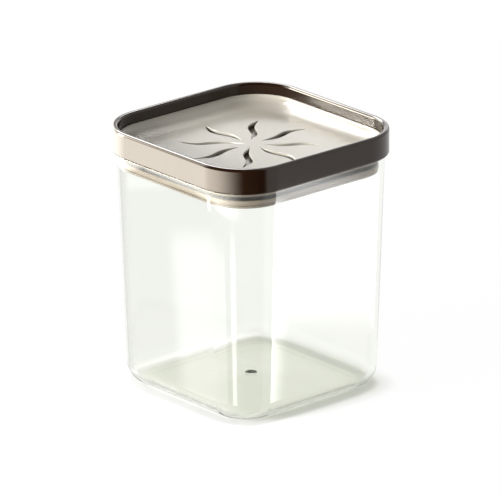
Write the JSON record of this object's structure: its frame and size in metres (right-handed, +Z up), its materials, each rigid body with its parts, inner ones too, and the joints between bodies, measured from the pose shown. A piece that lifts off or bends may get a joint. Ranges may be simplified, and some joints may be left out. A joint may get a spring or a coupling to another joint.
{
  "type": "lidded storage canister",
  "caption": "Square glass storage canister with leaning walls and a push-in stacking lid, whose sunken plate carries a star of wavy slots above a sealed plug.",
  "frame": {"origin": "centre of the square footprint, on the surface that the canister stands on", "axes": "+Z up, with +X and +Y square to two neighbouring walls"},
  "size_m": [0.1, 0.1, 0.12],
  "materials": {
    "jar_glass": "clear, faintly green",
    "frame_plastic": "gloss dark brown",
    "plate_plastic": "satin gloss greige",
    "plug_plastic": "satin taupe",
    "seal_silicone": "matt taupe silicone"
  },
  "bodies": {
    "jar": {"glass_jar": "jar_glass"},
    "lid": {"lid_frame": "frame_plastic", "lid_plate": "plate_plastic", "lid_plug": "plug_plastic", "lid_seal": "seal_silicone"}
  },
  "joints": [
    {"name": "lid_lift", "type": "slide", "parent": "jar", "child": "lid", "axis": [0, 0, 1], "range_m": [0, 0.06]}
  ]
}
